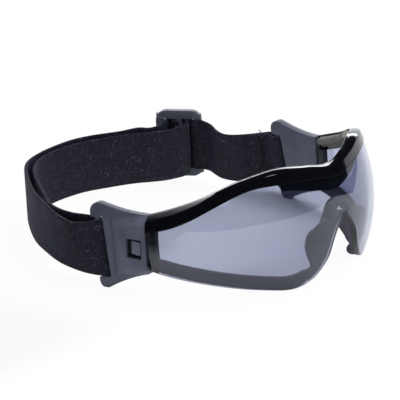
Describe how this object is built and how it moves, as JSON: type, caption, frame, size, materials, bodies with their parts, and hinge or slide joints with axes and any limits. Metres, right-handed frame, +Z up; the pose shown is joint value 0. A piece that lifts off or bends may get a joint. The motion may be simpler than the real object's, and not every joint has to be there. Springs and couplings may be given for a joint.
{
  "type": "tactical goggles",
  "caption": "Wrap-round safety goggles with a one-piece tinted lens, glossy top frame, matte side clips with spring catches and an adjustable elastic head strap.",
  "frame": {"origin": "on the symmetry plane of the goggles, on the surface that they stand on, straight below the centre of the lens sphere", "axes": "+X towards the wearer's left, +Y from the lens to the back of the head, +Z up"},
  "size_m": [0.1422, 0.1649, 0.0545],
  "materials": {
    "tinted_lens": "polished tinted polycarbonate",
    "glossy_black": "glossy moulded plastic",
    "black_foam": "closed-cell foam with a fabric face",
    "grey_foam": "soft closed-cell foam",
    "grey_rubber": "soft matte rubber",
    "dark_rubber": "soft matte rubber",
    "black_plastic": "fine moulded grain",
    "matte_charcoal": "matte moulded nylon",
    "catch_grey": "satin moulded nylon",
    "slider_black": "satin moulded nylon",
    "elastic_webbing": "knitted elastic webbing"
  },
  "bodies": {
    "frame": {"lens": "tinted_lens", "top_frame": "glossy_black", "brow_pad": "black_foam", "right_top_foam": "grey_foam", "left_top_foam": "grey_foam", "right_gasket": "grey_rubber", "left_gasket": "grey_rubber", "right_nose_pad": "dark_rubber", "left_nose_pad": "dark_rubber", "nose_bridge": "dark_rubber", "right_end_plate": "black_plastic", "left_end_plate": "black_plastic", "right_clip": "matte_charcoal", "left_clip": "matte_charcoal", "strap_right_side": "elastic_webbing", "strap_left_side": "elastic_webbing"},
    "strap_rear": {"strap_rear_outer": "elastic_webbing", "strap_rear_inner": "elastic_webbing", "strap_feed": "elastic_webbing", "strap_return": "elastic_webbing", "strap_single": "elastic_webbing"},
    "slider": {"slider": "slider_black", "strap_weave": "elastic_webbing", "strap_end_loop": "elastic_webbing"},
    "right_catch": {"right_catch": "catch_grey"},
    "left_catch": {"left_catch": "catch_grey"}
  },
  "joints": [
    {"name": "strap_stretch", "type": "slide", "parent": "frame", "child": "strap_rear", "axis": [0, 1, 0], "range_m": [0, 0.035], "stiffness_N_per_m": 100, "deforming": ["strap_right_side", "strap_left_side"]},
    {"name": "slider_slide", "type": "slide", "parent": "strap_rear", "child": "slider", "axis": [0.4772, -0.8788, 0], "range_m": [-0.008, 0.008], "deforming": ["strap_feed", "strap_return", "strap_single"]},
    {"name": "right_catch_press", "type": "hinge", "parent": "frame", "child": "right_catch", "pos_m": [-0.06418, 0.00879, 0.02048], "axis": [0.0535, 0.0081, 0.9985], "range_deg": [0, 7], "stiffness_Nm_per_rad": 0.05},
    {"name": "left_catch_press", "type": "hinge", "parent": "frame", "child": "left_catch", "pos_m": [0.06418, 0.00879, 0.02048], "axis": [0.0535, -0.0081, -0.9985], "range_deg": [0, 7], "stiffness_Nm_per_rad": 0.05}
  ]
}
